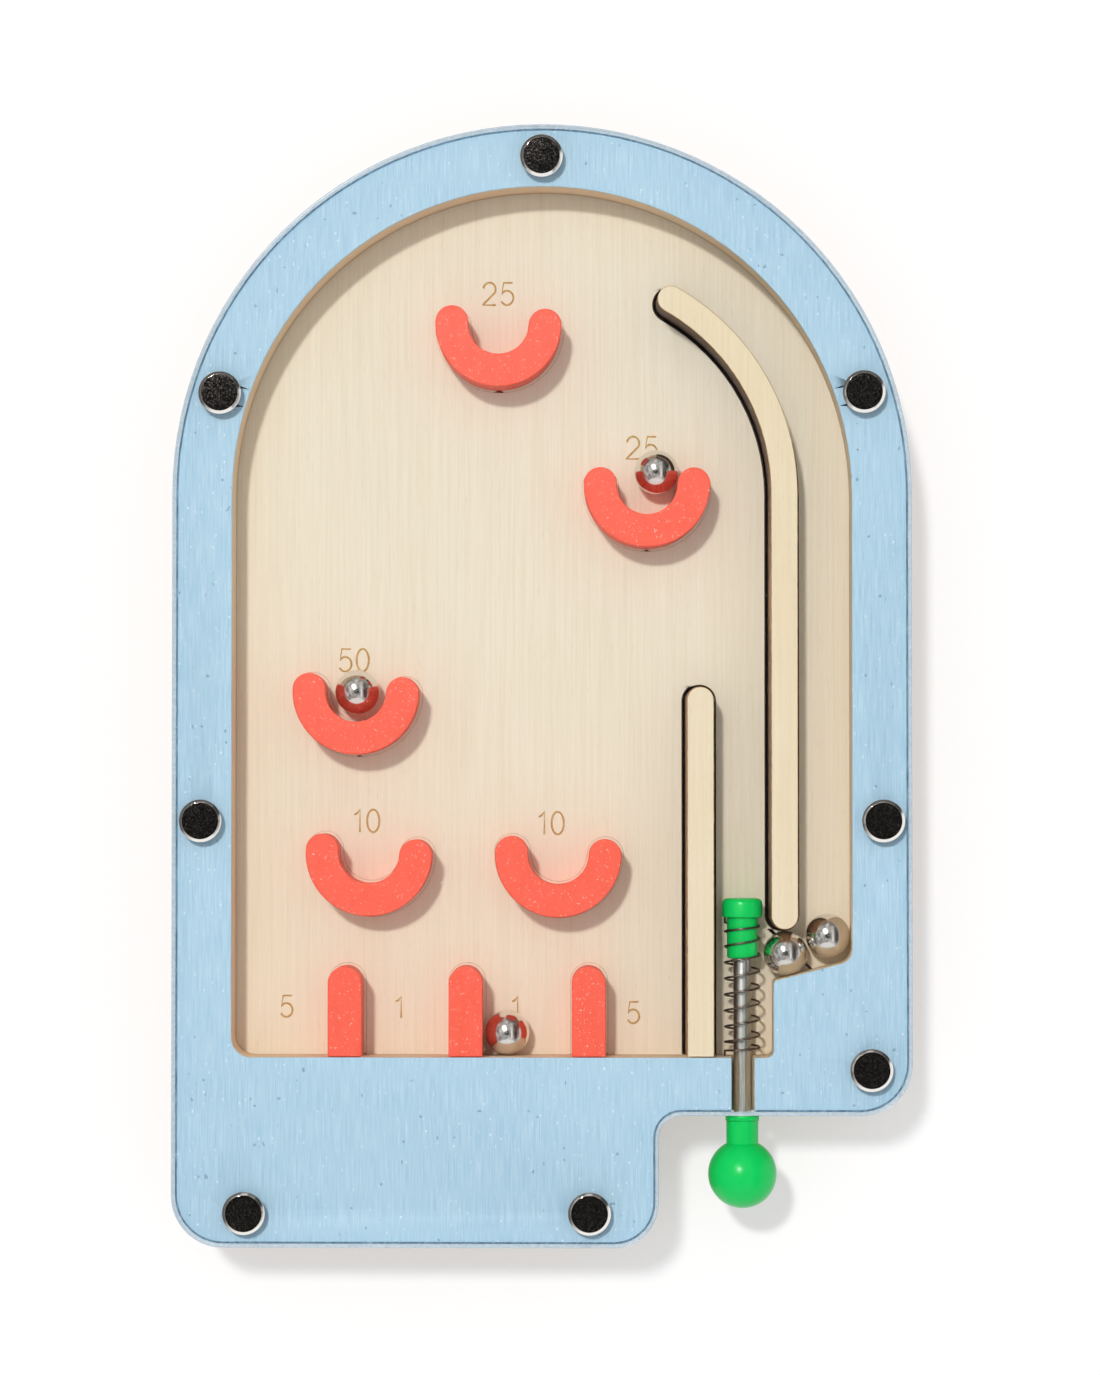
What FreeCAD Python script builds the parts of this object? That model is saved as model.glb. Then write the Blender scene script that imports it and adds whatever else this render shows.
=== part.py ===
"""Tabletop bagatelle game: an arched wooden case with a clear cover, scoring cups, rails, a sprung plunger and balls.

The game lies on its back. X runs across it, Y up the playfield towards the arch and Z from the back to the cover.
The origin is the middle of the back face. Lengths are in millimetres.
"""

import FreeCAD, Part
import math
import os

# Stock
BALL_DIA = 8.0
BACK_THICK = 8.0
PLAYFIELD_THICK = 4.7
COVER_THICK = 2.0
BALL_HEADROOM = 1.3

# Outline of the cover, which stands proud of the wooden plates
COVER_WIDTH = 133.0
COVER_HEIGHT = 202.0
COVER_OVERHANG = 0.5
CORNER_R = 9.3
KNOB_RECESS = 15.15
LOBE_CORNER_R = 8.1
STEP_HEIGHT = 23.7
STEP_INNER_R = 4.1

# Opening of the frame ring
RIM_WIDTH = 10.2
RIM_TOP_WIDTH = 10.6
BLOCK_HEIGHT = 33.5
OPENING_CORNER_R = 3.6
LEDGE_CORNER_R = 2.7
LEDGE_EDGE_R = 0.8
POCKET_CORNER_R = 1.3
POCKET_SHIFT = 0.35
LEDGE_RISE = 13.7
LEDGE_SLOPE_DEG = 14.5

# Rails, set into slots of the playfield
RAIL_WIDTH = 4.8
RETURN_LANE = 9.7
LAUNCH_LANE = 10.3
SHORT_RAIL_LENGTH = 66.6
LONG_RAIL_ARC_R = 40.3
LONG_RAIL_ARC_DEG = 60.4
LONG_RAIL_BALL_GAP = 0.46
RAIL_SLOT_GAP = 0.5

# Cups and dividers, set into slots of the playfield
CUP_SIDE_PLAY = 1.45
CUP_BAND = 5.95
DIVIDER_WIDTH = 6.15
DIVIDER_LENGTH = 16.3
BIN_WIDTHS = (17.3, 15.6, 16.0)
PAINTED_SLOT_GAP = 0.3
PIECE_TOP_GAP = 0.3
PIECE_END_GAP = 0.1
# name, middle of the arc in x and y, turn in degrees
CUPS = (
    ("cup_25_top", -7.8, 65.2, -2.3),
    ("cup_25_right", 19.0, 36.2, -0.3),
    ("cup_50", -33.5, -1.2, -2.6),
    ("cup_10_left", -31.1, -30.3, -3.6),
    ("cup_10_right", 3.0, -30.5, -2.0),
)

# Pins that hold the cover
PIN_HEAD_DIA = 7.7
PIN_FACE_DIA = 6.4
PIN_HEAD_THICK = 1.0
PIN_EDGE = 0.3
PIN_SHANK_DIA = 2.4
PIN_DEPTH = 7.0
PIN_COVER_PLAY = 0.2
PIN_FRAME_PLAY = 0.05
PIN_ARCH_ANGLES = (17.3, 90.0, 162.7)
PIN_SIDE_Y = -24.5
PIN_SIDE_SHIFT = 0.4
PIN_STEP_INSET_X = 7.4
PIN_STEP_INSET_Y = 8.2
PIN_LOBE_INSET_Y = 6.2
PIN_LOBE_LEFT_INSET = 13.1
PIN_LOBE_RIGHT_INSET = 12.4

# Plunger
ROD_DIA = 3.2
CHANNEL_PLAY = 0.45
TIP_HEAD_DIA = 7.3
TIP_HEAD_LENGTH = 3.4
TIP_CROWN = 1.1
TIP_BODY_LENGTH = 7.4
TIP_FOOT_R = 0.3
TIP_HEIGHT = 28.5
TIP_BORE_DEPTH = 9.0
KNOB_DIA = 12.4
KNOB_NECK_DIA = 5.8
KNOB_COLLAR_DIA = 6.1
KNOB_COLLAR_LENGTH = 0.9
KNOB_COLLAR_EDGE_R = 0.25
KNOB_NECK_LENGTH = 5.2
KNOB_NECK_SINK = 0.9
KNOB_GAP = 0.9
KNOB_BORE_DEPTH = 10.0
BORE_PLAY = 0.02

# Spring
SPRING_DIA = 6.7
SPRING_WIRE = 0.4
SPRING_TURNS = 9
SPRING_END_PITCH = 0.9
SPRING_RAMP_TURNS = 1.5
SPRING_BEND_R = 0.6
SPRING_BODY_PLAY = 0.2
SEAT_GAP = 0.03

# Balls at rest
BALL_LIFT = 0.1
BALL_SIDE_GAP = 0.2
SPRING_BALL_GAP = 0.2
RETURN_BALL_HEIGHT = 21.7
CUP_25_BALL_SHIFT = (1.7, 2.4)
BIN_BALL_GAP = 0.3

# Places worked out from the sizes
WALL_HEIGHT = BALL_DIA + BALL_HEADROOM
PLAY_Z = BACK_THICK + PLAYFIELD_THICK
FRAME_TOP_Z = PLAY_Z + WALL_HEIGHT
COVER_TOP_Z = FRAME_TOP_Z + COVER_THICK
PIECE_TOP_Z = FRAME_TOP_Z - PIECE_TOP_GAP
BALL_R = BALL_DIA / 2
BALL_Z = PLAY_Z + BALL_LIFT + BALL_R
FRAME_HALF_WIDTH = COVER_WIDTH / 2 - COVER_OVERHANG
FRAME_TOP_Y = COVER_HEIGHT / 2 - COVER_OVERHANG
ARCH_Y = COVER_HEIGHT / 2 - COVER_WIDTH / 2
STEP_Y = STEP_HEIGHT - COVER_HEIGHT / 2
OPENING_HALF_WIDTH = FRAME_HALF_WIDTH - RIM_WIDTH
OPENING_TOP_Y = FRAME_TOP_Y - RIM_TOP_WIDTH
OPENING_BOTTOM_Y = BLOCK_HEIGHT - FRAME_TOP_Y
LONG_RAIL_X = OPENING_HALF_WIDTH - RETURN_LANE - RAIL_WIDTH / 2
SHORT_RAIL_X = LONG_RAIL_X - LAUNCH_LANE - RAIL_WIDTH
PLUNGER_X = (LONG_RAIL_X + SHORT_RAIL_X) / 2
LOBE_RIGHT_X = PLUNGER_X - KNOB_RECESS
PLUNGER_Z = PLAY_Z + WALL_HEIGHT / 2
POCKET_X = LONG_RAIL_X - RAIL_WIDTH / 2 + POCKET_SHIFT
LEDGE_SLOPE = math.tan(math.radians(LEDGE_SLOPE_DEG))
LEDGE_Y = OPENING_BOTTOM_Y + LEDGE_RISE
TIP_TOP_Y = OPENING_BOTTOM_Y + TIP_HEIGHT
TIP_SHOULDER_Y = TIP_TOP_Y - TIP_HEAD_LENGTH
TIP_BODY_DIA = SPRING_DIA - 2 * SPRING_WIRE - 2 * SPRING_BODY_PLAY
KNOB_FACE_Y = STEP_Y + COVER_OVERHANG - KNOB_GAP
KNOB_Y = KNOB_FACE_Y - KNOB_NECK_LENGTH - KNOB_DIA / 2 + KNOB_NECK_SINK
CHANNEL_R = ROD_DIA / 2 + CHANNEL_PLAY


def vec(x, y, z=0.0):
    return FreeCAD.Vector(x, y, z)


def polar(radius, degrees, y=0.0):
    """Point of the XY plane at an angle about (0, y)."""
    angle = math.radians(degrees)
    return vec(radius * math.cos(angle), y + radius * math.sin(angle))


def line(start, end):
    return Part.LineSegment(start, end).toShape()


def arc(start, middle, end):
    return Part.Arc(start, middle, end).toShape()


def rounded_face(corners):
    """Flat face through (x, y, radius) corners, with each corner rounded by its radius."""
    stretches = []
    for i, (x, y, radius) in enumerate(corners):
        corner = vec(x, y)
        if radius <= 0:
            stretches.append((corner, None, corner))
            continue
        before = vec(*corners[i - 1][:2]).sub(corner).normalize()
        after = vec(*corners[(i + 1) % len(corners)][:2]).sub(corner).normalize()
        half_angle = before.getAngle(after) / 2
        reach = radius / math.tan(half_angle)
        inward = before.add(after).normalize()
        middle = corner.add(inward.multiply(radius / math.sin(half_angle) - radius))
        stretches.append((corner.add(before.multiply(reach)), middle, corner.add(after.multiply(reach))))
    edges = []
    for i, (start, middle, end) in enumerate(stretches):
        if middle:
            edges.append(arc(start, middle, end))
        following = stretches[(i + 1) % len(stretches)][0]
        if end.distanceToPoint(following) > 1e-6:
            edges.append(line(end, following))
    return Part.Face(Part.Wire(edges))


def band_face(radius, half_width, sweep, tail=0.0):
    """Flat band bent about the origin from angle 0, with round ends and an optional straight tail before it."""
    outer = radius + half_width
    inner = radius - half_width
    bend = math.radians(sweep)
    crest = polar(radius, sweep).add(vec(-math.sin(bend), math.cos(bend)).multiply(half_width))
    edges = [
        arc(vec(inner, -tail), vec(radius, -tail - half_width), vec(outer, -tail)),
        arc(vec(outer, 0), polar(outer, sweep / 2), polar(outer, sweep)),
        arc(polar(outer, sweep), crest, polar(inner, sweep)),
        arc(polar(inner, sweep), polar(inner, sweep / 2), vec(inner, 0)),
    ]
    if tail > 0:
        edges.insert(1, line(vec(outer, -tail), vec(outer, 0)))
        edges.append(line(vec(inner, 0), vec(inner, -tail)))
    return Part.Face(Part.Wire(edges))


def raise_face(face, bottom, top):
    """Solid between two heights."""
    face = face.copy()
    face.translate(vec(0, 0, bottom))
    return face.extrude(vec(0, 0, top - bottom))


def placed(shape, x, y, turn=0.0):
    shape = shape.copy()
    shape.rotate(vec(0, 0), vec(0, 0, 1), turn)
    shape.translate(vec(x, y))
    return shape


def outline_face(inset):
    """Outline of the game, drawn in from the cover's edge."""
    half = COVER_WIDTH / 2 - inset
    top = COVER_HEIGHT / 2 - inset
    step = STEP_Y + inset
    lobe = LOBE_RIGHT_X - inset
    return rounded_face([
        (-half, top, half),
        (-half, -top, CORNER_R - inset),
        (lobe, -top, LOBE_CORNER_R - inset),
        (lobe, step, STEP_INNER_R + inset),
        (half, step, CORNER_R - inset),
        (half, top, half),
    ])


def opening_face():
    """Opening of the frame ring: the arch, the sloped ledge of the return lane and the plunger's pocket."""
    half = OPENING_HALF_WIDTH
    ledge_end = LEDGE_Y + (half - POCKET_X) * LEDGE_SLOPE
    return rounded_face([
        (-half, OPENING_TOP_Y, half),
        (-half, OPENING_BOTTOM_Y, OPENING_CORNER_R),
        (POCKET_X, OPENING_BOTTOM_Y, POCKET_CORNER_R),
        (POCKET_X, LEDGE_Y, LEDGE_EDGE_R),
        (half, ledge_end, LEDGE_CORNER_R),
        (half, OPENING_TOP_Y, half),
    ])


def cup_face(gap=0.0):
    inner = BALL_R + CUP_SIDE_PLAY
    return placed(band_face(inner + CUP_BAND / 2, CUP_BAND / 2 + gap, 180), 0, 0, 180)


def upright_face(x, width, length, gap=0.0):
    """Straight piece that stands against the block at the foot of the opening, with a round top end."""
    half = width / 2 + gap
    foot = OPENING_BOTTOM_Y + PIECE_END_GAP - gap
    top = OPENING_BOTTOM_Y + length + gap
    return rounded_face([(x - half, foot, 0), (x + half, foot, 0), (x + half, top, half), (x - half, top, half)])


def launch_ball_place():
    """Middle of the ball that lies on the ledge, beside the plunger's tip."""
    rise = PLUNGER_Z - BALL_Z
    reach = BALL_R + TIP_HEAD_DIA / 2 + SPRING_BALL_GAP
    x = PLUNGER_X + math.sqrt(reach * reach - rise * rise)
    lift = (BALL_R + BALL_LIFT) / math.cos(math.radians(LEDGE_SLOPE_DEG))
    return x, LEDGE_Y + (x - POCKET_X) * LEDGE_SLOPE + lift


def long_rail_face(gap=0.0):
    """Straight from just above the launch lane's ball to the arch, then bent over the playfield."""
    foot = launch_ball_place()[1] + BALL_R + LONG_RAIL_BALL_GAP + RAIL_WIDTH / 2
    face = band_face(LONG_RAIL_ARC_R, RAIL_WIDTH / 2 + gap, LONG_RAIL_ARC_DEG, ARCH_Y - foot)
    return placed(face, LONG_RAIL_X - LONG_RAIL_ARC_R, ARCH_Y)


def divider_xs():
    """Middle of each divider, from the widths of the bins between them."""
    xs = []
    edge = -OPENING_HALF_WIDTH
    for width in BIN_WIDTHS:
        edge += width
        xs.append(edge + DIVIDER_WIDTH / 2)
        edge += DIVIDER_WIDTH
    return xs


def set_pieces():
    """Name, face and slot face of each piece that stands in a slot of the playfield."""
    pieces = []
    for name, x, y, turn in CUPS:
        pieces.append((name, placed(cup_face(), x, y, turn), placed(cup_face(PAINTED_SLOT_GAP), x, y, turn)))
    for side, x in zip(("left", "middle", "right"), divider_xs()):
        slot = upright_face(x, DIVIDER_WIDTH, DIVIDER_LENGTH, PAINTED_SLOT_GAP)
        pieces.append((f"divider_{side}", upright_face(x, DIVIDER_WIDTH, DIVIDER_LENGTH), slot))
    rail = (SHORT_RAIL_X, RAIL_WIDTH, SHORT_RAIL_LENGTH)
    pieces.append(("short_rail", upright_face(*rail), upright_face(*rail, RAIL_SLOT_GAP)))
    pieces.append(("long_rail", long_rail_face(), long_rail_face(RAIL_SLOT_GAP)))
    return pieces


def pin_places():
    """Middle of each pin: three round the arch, a pair at the sides, one over the step and two in the lobe."""
    arch_r = (FRAME_TOP_Y - ARCH_Y) - RIM_TOP_WIDTH / 2
    places = [polar(arch_r, angle, ARCH_Y) for angle in PIN_ARCH_ANGLES]
    side_x = OPENING_HALF_WIDTH + RIM_WIDTH / 2 + PIN_SIDE_SHIFT
    places += [vec(-side_x, PIN_SIDE_Y), vec(side_x, PIN_SIDE_Y)]
    places.append(vec(COVER_WIDTH / 2 - PIN_STEP_INSET_X, STEP_Y + PIN_STEP_INSET_Y))
    lobe_y = PIN_LOBE_INSET_Y - COVER_HEIGHT / 2
    places += [vec(PIN_LOBE_LEFT_INSET - COVER_WIDTH / 2, lobe_y), vec(LOBE_RIGHT_X - PIN_LOBE_RIGHT_INSET, lobe_y)]
    return places


def revolved(corners):
    """Solid of revolution about Y from (radius, y, corner radius) corners, moved to the plunger's axis."""
    solid = rounded_face(corners).revolve(vec(0, 0), vec(0, 1), 360)
    solid.translate(vec(PLUNGER_X, 0, PLUNGER_Z))
    return solid


def back_plate():
    return raise_face(outline_face(COVER_OVERHANG), 0, BACK_THICK)


def playfield_plate():
    plate = raise_face(outline_face(COVER_OVERHANG), BACK_THICK, PLAY_Z)
    for _, _, slot in set_pieces():
        plate = plate.cut(raise_face(slot, BACK_THICK - 1, PLAY_Z + 1))
    return plate


def channel():
    """Groove through the block that the rod runs in, round below and open at the top."""
    length = OPENING_BOTTOM_Y - STEP_Y + 2
    low = STEP_Y - 1
    groove = Part.makeCylinder(CHANNEL_R, length, vec(PLUNGER_X, low, PLUNGER_Z), vec(0, 1, 0))
    way_up = Part.makeBox(2 * CHANNEL_R, length, COVER_TOP_Z - PLUNGER_Z, vec(PLUNGER_X - CHANNEL_R, low, PLUNGER_Z))
    return groove.fuse(way_up)


def frame_ring():
    ring = raise_face(outline_face(COVER_OVERHANG), PLAY_Z, FRAME_TOP_Z)
    ring = ring.cut(raise_face(opening_face(), PLAY_Z - 1, FRAME_TOP_Z + 1))
    ring = ring.cut(channel())
    hole_r = PIN_SHANK_DIA / 2 + PIN_FRAME_PLAY
    depth = PIN_DEPTH + PIN_EDGE
    for place in pin_places():
        ring = ring.cut(Part.makeCylinder(hole_r, depth, place.add(vec(0, 0, FRAME_TOP_Z - depth))))
    return ring


def clear_cover():
    cover = raise_face(outline_face(0), FRAME_TOP_Z, COVER_TOP_Z)
    hole_r = PIN_SHANK_DIA / 2 + PIN_COVER_PLAY
    for place in pin_places():
        cover = cover.cut(Part.makeCylinder(hole_r, COVER_THICK, place.add(vec(0, 0, FRAME_TOP_Z))))
    return cover


def cover_pins():
    """Flat-headed pins, each its own solid."""
    shank = Part.makeCylinder(PIN_SHANK_DIA / 2, PIN_DEPTH + COVER_THICK, vec(0, 0, FRAME_TOP_Z - PIN_DEPTH))
    flange = Part.makeCylinder(PIN_HEAD_DIA / 2, PIN_EDGE, vec(0, 0, COVER_TOP_Z))
    crown_height = PIN_HEAD_THICK - PIN_EDGE
    crown = Part.makeCone(PIN_HEAD_DIA / 2, PIN_FACE_DIA / 2, crown_height, vec(0, 0, COVER_TOP_Z + PIN_EDGE))
    pin = shank.fuse([flange, crown]).removeSplitter()
    return Part.makeCompound([placed(pin, place.x, place.y) for place in pin_places()])


def plunger_tip():
    head = TIP_HEAD_DIA / 2
    body = TIP_BODY_DIA / 2
    bore = ROD_DIA / 2 + BORE_PLAY
    foot = TIP_SHOULDER_Y - TIP_BODY_LENGTH
    bore_end = foot + TIP_BORE_DEPTH
    return revolved([
        (0, TIP_TOP_Y, 0),
        (head, TIP_TOP_Y, TIP_CROWN),
        (head, TIP_SHOULDER_Y, 0),
        (body, TIP_SHOULDER_Y, 0),
        (body, foot, TIP_FOOT_R),
        (bore, foot, 0),
        (bore, bore_end, 0),
        (0, bore_end, 0),
    ])


def plunger_rod():
    top = TIP_SHOULDER_Y - TIP_BODY_LENGTH + TIP_BORE_DEPTH
    foot = KNOB_FACE_Y - KNOB_BORE_DEPTH
    return Part.makeCylinder(ROD_DIA / 2, top - foot, vec(PLUNGER_X, foot, PLUNGER_Z), vec(0, 1, 0))


def plunger_knob():
    """Ball with a short neck and collar, and a blind bore for the rod."""
    collar = KNOB_COLLAR_DIA / 2
    neck = KNOB_NECK_DIA / 2
    collar_foot = KNOB_FACE_Y - KNOB_COLLAR_LENGTH
    stem = revolved([
        (0, KNOB_FACE_Y, 0),
        (collar, KNOB_FACE_Y, KNOB_COLLAR_EDGE_R),
        (collar, collar_foot, 0),
        (neck, collar_foot, 0),
        (neck, KNOB_Y, 0),
        (0, KNOB_Y, 0),
    ])
    knob = Part.makeSphere(KNOB_DIA / 2, vec(PLUNGER_X, KNOB_Y, PLUNGER_Z)).fuse(stem)
    bore = Part.makeCylinder(ROD_DIA / 2 + BORE_PLAY, KNOB_BORE_DEPTH,
                             vec(PLUNGER_X, KNOB_FACE_Y - KNOB_BORE_DEPTH, PLUNGER_Z), vec(0, 1, 0))
    return knob.cut(bore)


def arc_from(start, tangent, end):
    """Arc that leaves start along tangent and ends at end."""
    chord = end.sub(start)
    across = vec(*tangent).sub(vec(*chord).multiply(tangent.dot(chord) / chord.dot(chord)))
    if across.Length < 1e-6:
        return line(start, end)
    half_turn = tangent.getAngle(chord)
    rise = across.normalize().multiply(chord.Length / 2 * math.tan(half_turn / 2))
    return arc(start, start.add(vec(*chord).multiply(0.5)).add(rise), end)


def biarc(start, start_tangent, end, end_tangent):
    """Two arcs that join two points and keep both directions."""
    span = end.sub(start)
    both = start_tangent.add(end_tangent)
    spread = 2 * (1 - start_tangent.dot(end_tangent))
    lean = span.dot(both)
    reach = (math.sqrt(lean * lean + spread * span.dot(span)) - lean) / spread
    middle = start.add(end).add(start_tangent.sub(end_tangent).multiply(reach)).multiply(0.5)
    middle_tangent = end.sub(vec(*end_tangent).multiply(reach)).sub(start.add(vec(*start_tangent).multiply(reach)))
    return [arc_from(start, start_tangent, middle), arc_from(middle, middle_tangent.normalize(), end)]


def spring_stations(foot, top):
    """Point and direction of the coil at each quarter turn: close turns at both ends, open ones between."""
    radius = (SPRING_DIA - SPRING_WIRE) / 2
    ramp = SPRING_RAMP_TURNS
    open_part = (top - foot - SPRING_TURNS * SPRING_END_PITCH) / (SPRING_TURNS - ramp)
    stations = []
    for quarter in range(4 * SPRING_TURNS + 1):
        turn = quarter / 4
        left = SPRING_TURNS - turn
        if turn < ramp:
            opened = turn * turn / (2 * ramp)
        elif left < ramp:
            opened = SPRING_TURNS - ramp - left * left / (2 * ramp)
        else:
            opened = turn - ramp / 2
        pitch = SPRING_END_PITCH + open_part * min(1, turn / ramp, left / ramp)
        angle = math.pi - 2 * math.pi * turn
        y = foot + SPRING_END_PITCH * turn + open_part * opened
        point = vec(PLUNGER_X + radius * math.cos(angle), y, PLUNGER_Z + radius * math.sin(angle))
        around = 2 * math.pi * radius
        tangent = vec(around * math.sin(angle), pitch, -around * math.cos(angle)).normalize()
        stations.append((point, tangent))
    return stations


def spring_path():
    """Centre line of the wire: a straight run off each seat, a bend and the coil between them."""
    foot_seat = OPENING_BOTTOM_Y + SEAT_GAP
    top_seat = TIP_SHOULDER_Y - SEAT_GAP
    reach = SPRING_WIRE + SPRING_BEND_R
    stations = spring_stations(foot_seat + reach, top_seat - reach)
    along = vec(0, 1, 0)
    first, first_tangent = stations[0]
    last, last_tangent = stations[-1]
    foot_bend = first.sub(vec(*first_tangent).add(along).multiply(SPRING_BEND_R))
    foot_bend.y = foot_seat + SPRING_WIRE
    top_bend = last.add(vec(*last_tangent).add(along).multiply(SPRING_BEND_R))
    top_bend.y = top_seat - SPRING_WIRE
    start = vec(foot_bend.x, foot_seat, foot_bend.z)
    end = vec(top_bend.x, top_seat, top_bend.z)
    edges = [line(start, foot_bend)]
    edges += biarc(foot_bend, along, first, first_tangent)
    for (point, tangent), (following, following_tangent) in zip(stations, stations[1:]):
        edges += biarc(point, tangent, following, following_tangent)
    edges += biarc(last, last_tangent, top_bend, along)
    edges.append(line(top_bend, end))
    return Part.Wire(edges), start


def least_gap(path):
    """Smallest clear gap between stretches of wire that lie over half a turn apart."""
    step = 0.3
    points = path.discretize(Distance=step)
    apart = int(math.pi * SPRING_DIA * 0.6 / step)
    least = min(a.distanceToPoint(b) for i, a in enumerate(points) for b in points[i + apart:])
    return least - SPRING_WIRE


def plunger_spring():
    path, start = spring_path()
    section = Part.Wire([Part.Circle(start, vec(0, 1, 0), SPRING_WIRE / 2).toShape()])
    spring = path.makePipeShell([section], True, False)
    expected = math.pi * SPRING_WIRE ** 2 / 4 * path.Length
    print(f"spring: least gap to itself {least_gap(path):.2f} mm, volume over section times length "
          f"{spring.Volume / expected:.4f}")
    return spring


def balls():
    """Name and centre in x and y of each ball at rest."""
    launch_x, launch_y = launch_ball_place()
    return_x = OPENING_HALF_WIDTH - BALL_R - BALL_SIDE_GAP
    _, cup_25_x, cup_25_y, _ = CUPS[1]
    _, cup_50_x, cup_50_y, _ = CUPS[2]
    shift_x, shift_y = CUP_25_BALL_SHIFT
    bin_x = divider_xs()[1] + DIVIDER_WIDTH / 2 + BALL_R + BIN_BALL_GAP
    return [
        ("ball_launch_lane", launch_x, launch_y),
        ("ball_return_lane", return_x, OPENING_BOTTOM_Y + RETURN_BALL_HEIGHT),
        ("ball_cup_25", cup_25_x + shift_x, cup_25_y + shift_y),
        ("ball_cup_50", cup_50_x, cup_50_y),
        ("ball_bin", bin_x, OPENING_BOTTOM_Y + BALL_R + BALL_SIDE_GAP),
    ]


def build():
    nodes = {
        "back_plate": back_plate(),
        "playfield_plate": playfield_plate(),
        "frame_ring": frame_ring(),
        "clear_cover": clear_cover(),
        "cover_pins": cover_pins(),
        "plunger_tip": plunger_tip(),
        "plunger_rod": plunger_rod(),
        "plunger_knob": plunger_knob(),
        "plunger_spring": plunger_spring(),
    }
    for name, face, _ in set_pieces():
        nodes[name] = raise_face(face, BACK_THICK, PIECE_TOP_Z)
    for name, x, y in balls():
        nodes[name] = Part.makeSphere(BALL_R, vec(x, y, BALL_Z))
    return nodes


os.makedirs("parts", exist_ok=True)
for node, shape in build().items():
    shape.exportStep(f"parts/{node}.step")
    centre = shape.BoundBox.Center
    print(f"{node}: {len(shape.Solids)} solid(s), {shape.Volume:.1f} mm3, valid {shape.isValid()}, "
          f"middle {centre.x:.2f} {centre.y:.2f} {centre.z:.2f}")
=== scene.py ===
"""Looks of the tabletop bagatelle game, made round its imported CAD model.

The file has the layout of a Blender add-on and is run as a script. Lengths are in metres and the frame is
the CAD model's: X across the game, Y up the playfield to the arch, Z out of the clear cover.
"""

import math
from contextlib import contextmanager

import bmesh
import bpy
from bpy.props import FloatProperty, FloatVectorProperty, IntProperty, PointerProperty
from mathutils import Matrix, Vector


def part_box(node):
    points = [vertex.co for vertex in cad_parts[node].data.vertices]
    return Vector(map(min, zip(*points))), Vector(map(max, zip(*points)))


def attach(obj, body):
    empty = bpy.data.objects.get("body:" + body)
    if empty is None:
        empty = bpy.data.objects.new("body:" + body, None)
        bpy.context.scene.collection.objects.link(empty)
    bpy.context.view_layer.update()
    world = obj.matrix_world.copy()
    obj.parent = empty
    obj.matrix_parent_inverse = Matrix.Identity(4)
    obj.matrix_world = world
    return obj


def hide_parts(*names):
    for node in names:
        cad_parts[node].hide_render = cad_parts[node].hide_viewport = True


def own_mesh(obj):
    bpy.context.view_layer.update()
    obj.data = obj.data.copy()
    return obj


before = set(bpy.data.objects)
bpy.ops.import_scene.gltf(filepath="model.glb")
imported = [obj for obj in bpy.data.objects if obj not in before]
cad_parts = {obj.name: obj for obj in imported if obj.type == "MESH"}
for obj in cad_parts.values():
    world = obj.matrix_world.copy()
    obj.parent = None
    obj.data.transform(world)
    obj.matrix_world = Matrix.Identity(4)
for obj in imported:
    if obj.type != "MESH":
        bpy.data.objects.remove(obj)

bl_info = {
    "name": "Tabletop bagatelle game",
    "version": (1, 0, 0),
    "blender": (4, 5, 0),
    "location": "3D View > Sidebar > Bagatelle",
    "description": "Builds the wooden case, rails, cups, plunger, balls and clear cover of a bagatelle game",
    "category": "Add Mesh",
}

MM = 0.001
TOUCH = 0.01 * MM
CUPS = ("cup_25_top", "cup_25_right", "cup_50", "cup_10_left", "cup_10_right")
DIVIDERS = ("divider_left", "divider_middle", "divider_right")
RAILS = ("short_rail", "long_rail")
BALLS = ("ball_launch_lane", "ball_return_lane", "ball_cup_25", "ball_cup_50", "ball_bin")

# What tells the opening's walls from the frame's outside: half width, foot, top, and the arch's circle
OPENING_HALF = 57 * MM
OPENING_FOOT = -68 * MM
OPENING_TOP = 91 * MM
ARCH_MIDDLE = 34.5 * MM
ARCH_REACH = 60 * MM
# The plunger's channel through the frame's foot: its middle, half width, upper end and depth
CHANNEL_X = 36.15 * MM
CHANNEL_HALF = 2.5 * MM
CHANNEL_END = -60 * MM
CHANNEL_FLOOR = 15 * MM
# Above this level a face of the frame that looks up is painted
PAINTED_ABOVE = 21 * MM
# Boxes round the rails' slots in the playfield, as left, right, foot and top in millimetres
RAIL_SLOTS = ((20, 52, -68, 5), (34, 52, -68, 91), (15, 52, 52, 91))

# Score, with the middle of its figures in x and y and their height, in millimetres
SCORES = (
    ("25", -8.1, 71.6, 4.1),
    ("25", 18.1, 43.4, 4.1),
    ("50", -34.4, 4.7, 4.1),
    ("10", -32.0, -24.6, 4.1),
    ("10", 1.6, -25.0, 4.1),
    ("5", -46.6, -58.3, 3.9),
    ("1", -26.0, -58.5, 3.9),
    ("1", -4.8, -58.5, 3.9),
    ("5", 16.5, -59.4, 3.9),
)
# Strokes of each figure in a box one high: points, with arcs as (middle, radii, first and last angle)
FIGURES = {
    "0": (0.56, [[((0.28, 0.5), (0.27, 0.5), 90, 450)]]),
    "1": (0.36, [[(0.0, 0.77), (0.13, 0.84), (0.25, 1.0), (0.25, 0.0)]]),
    "2": (0.6, [[((0.3, 0.7), (0.27, 0.3), 172, -32), (0.05, 0.06), (0.0, 0.0), (0.58, 0.0)]]),
    "5": (0.58, [[(0.53, 0.99), (0.13, 0.99), (0.05, 0.47), ((0.28, 0.32), (0.28, 0.32), 128, -152)]]),
}
FIGURE_GAP = 0.2
# Short lines in an arc of a figure, in the knob's outline and in a turn of the spring
FIGURE_STEPS = 32
KNOB_STEPS = 40
TURN_STEPS = 24
# Kind of a Geometry Nodes input for each kind of value
SOCKETS = {int: "NodeSocketInt", float: "NodeSocketFloat", tuple: "NodeSocketVector"}
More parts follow.
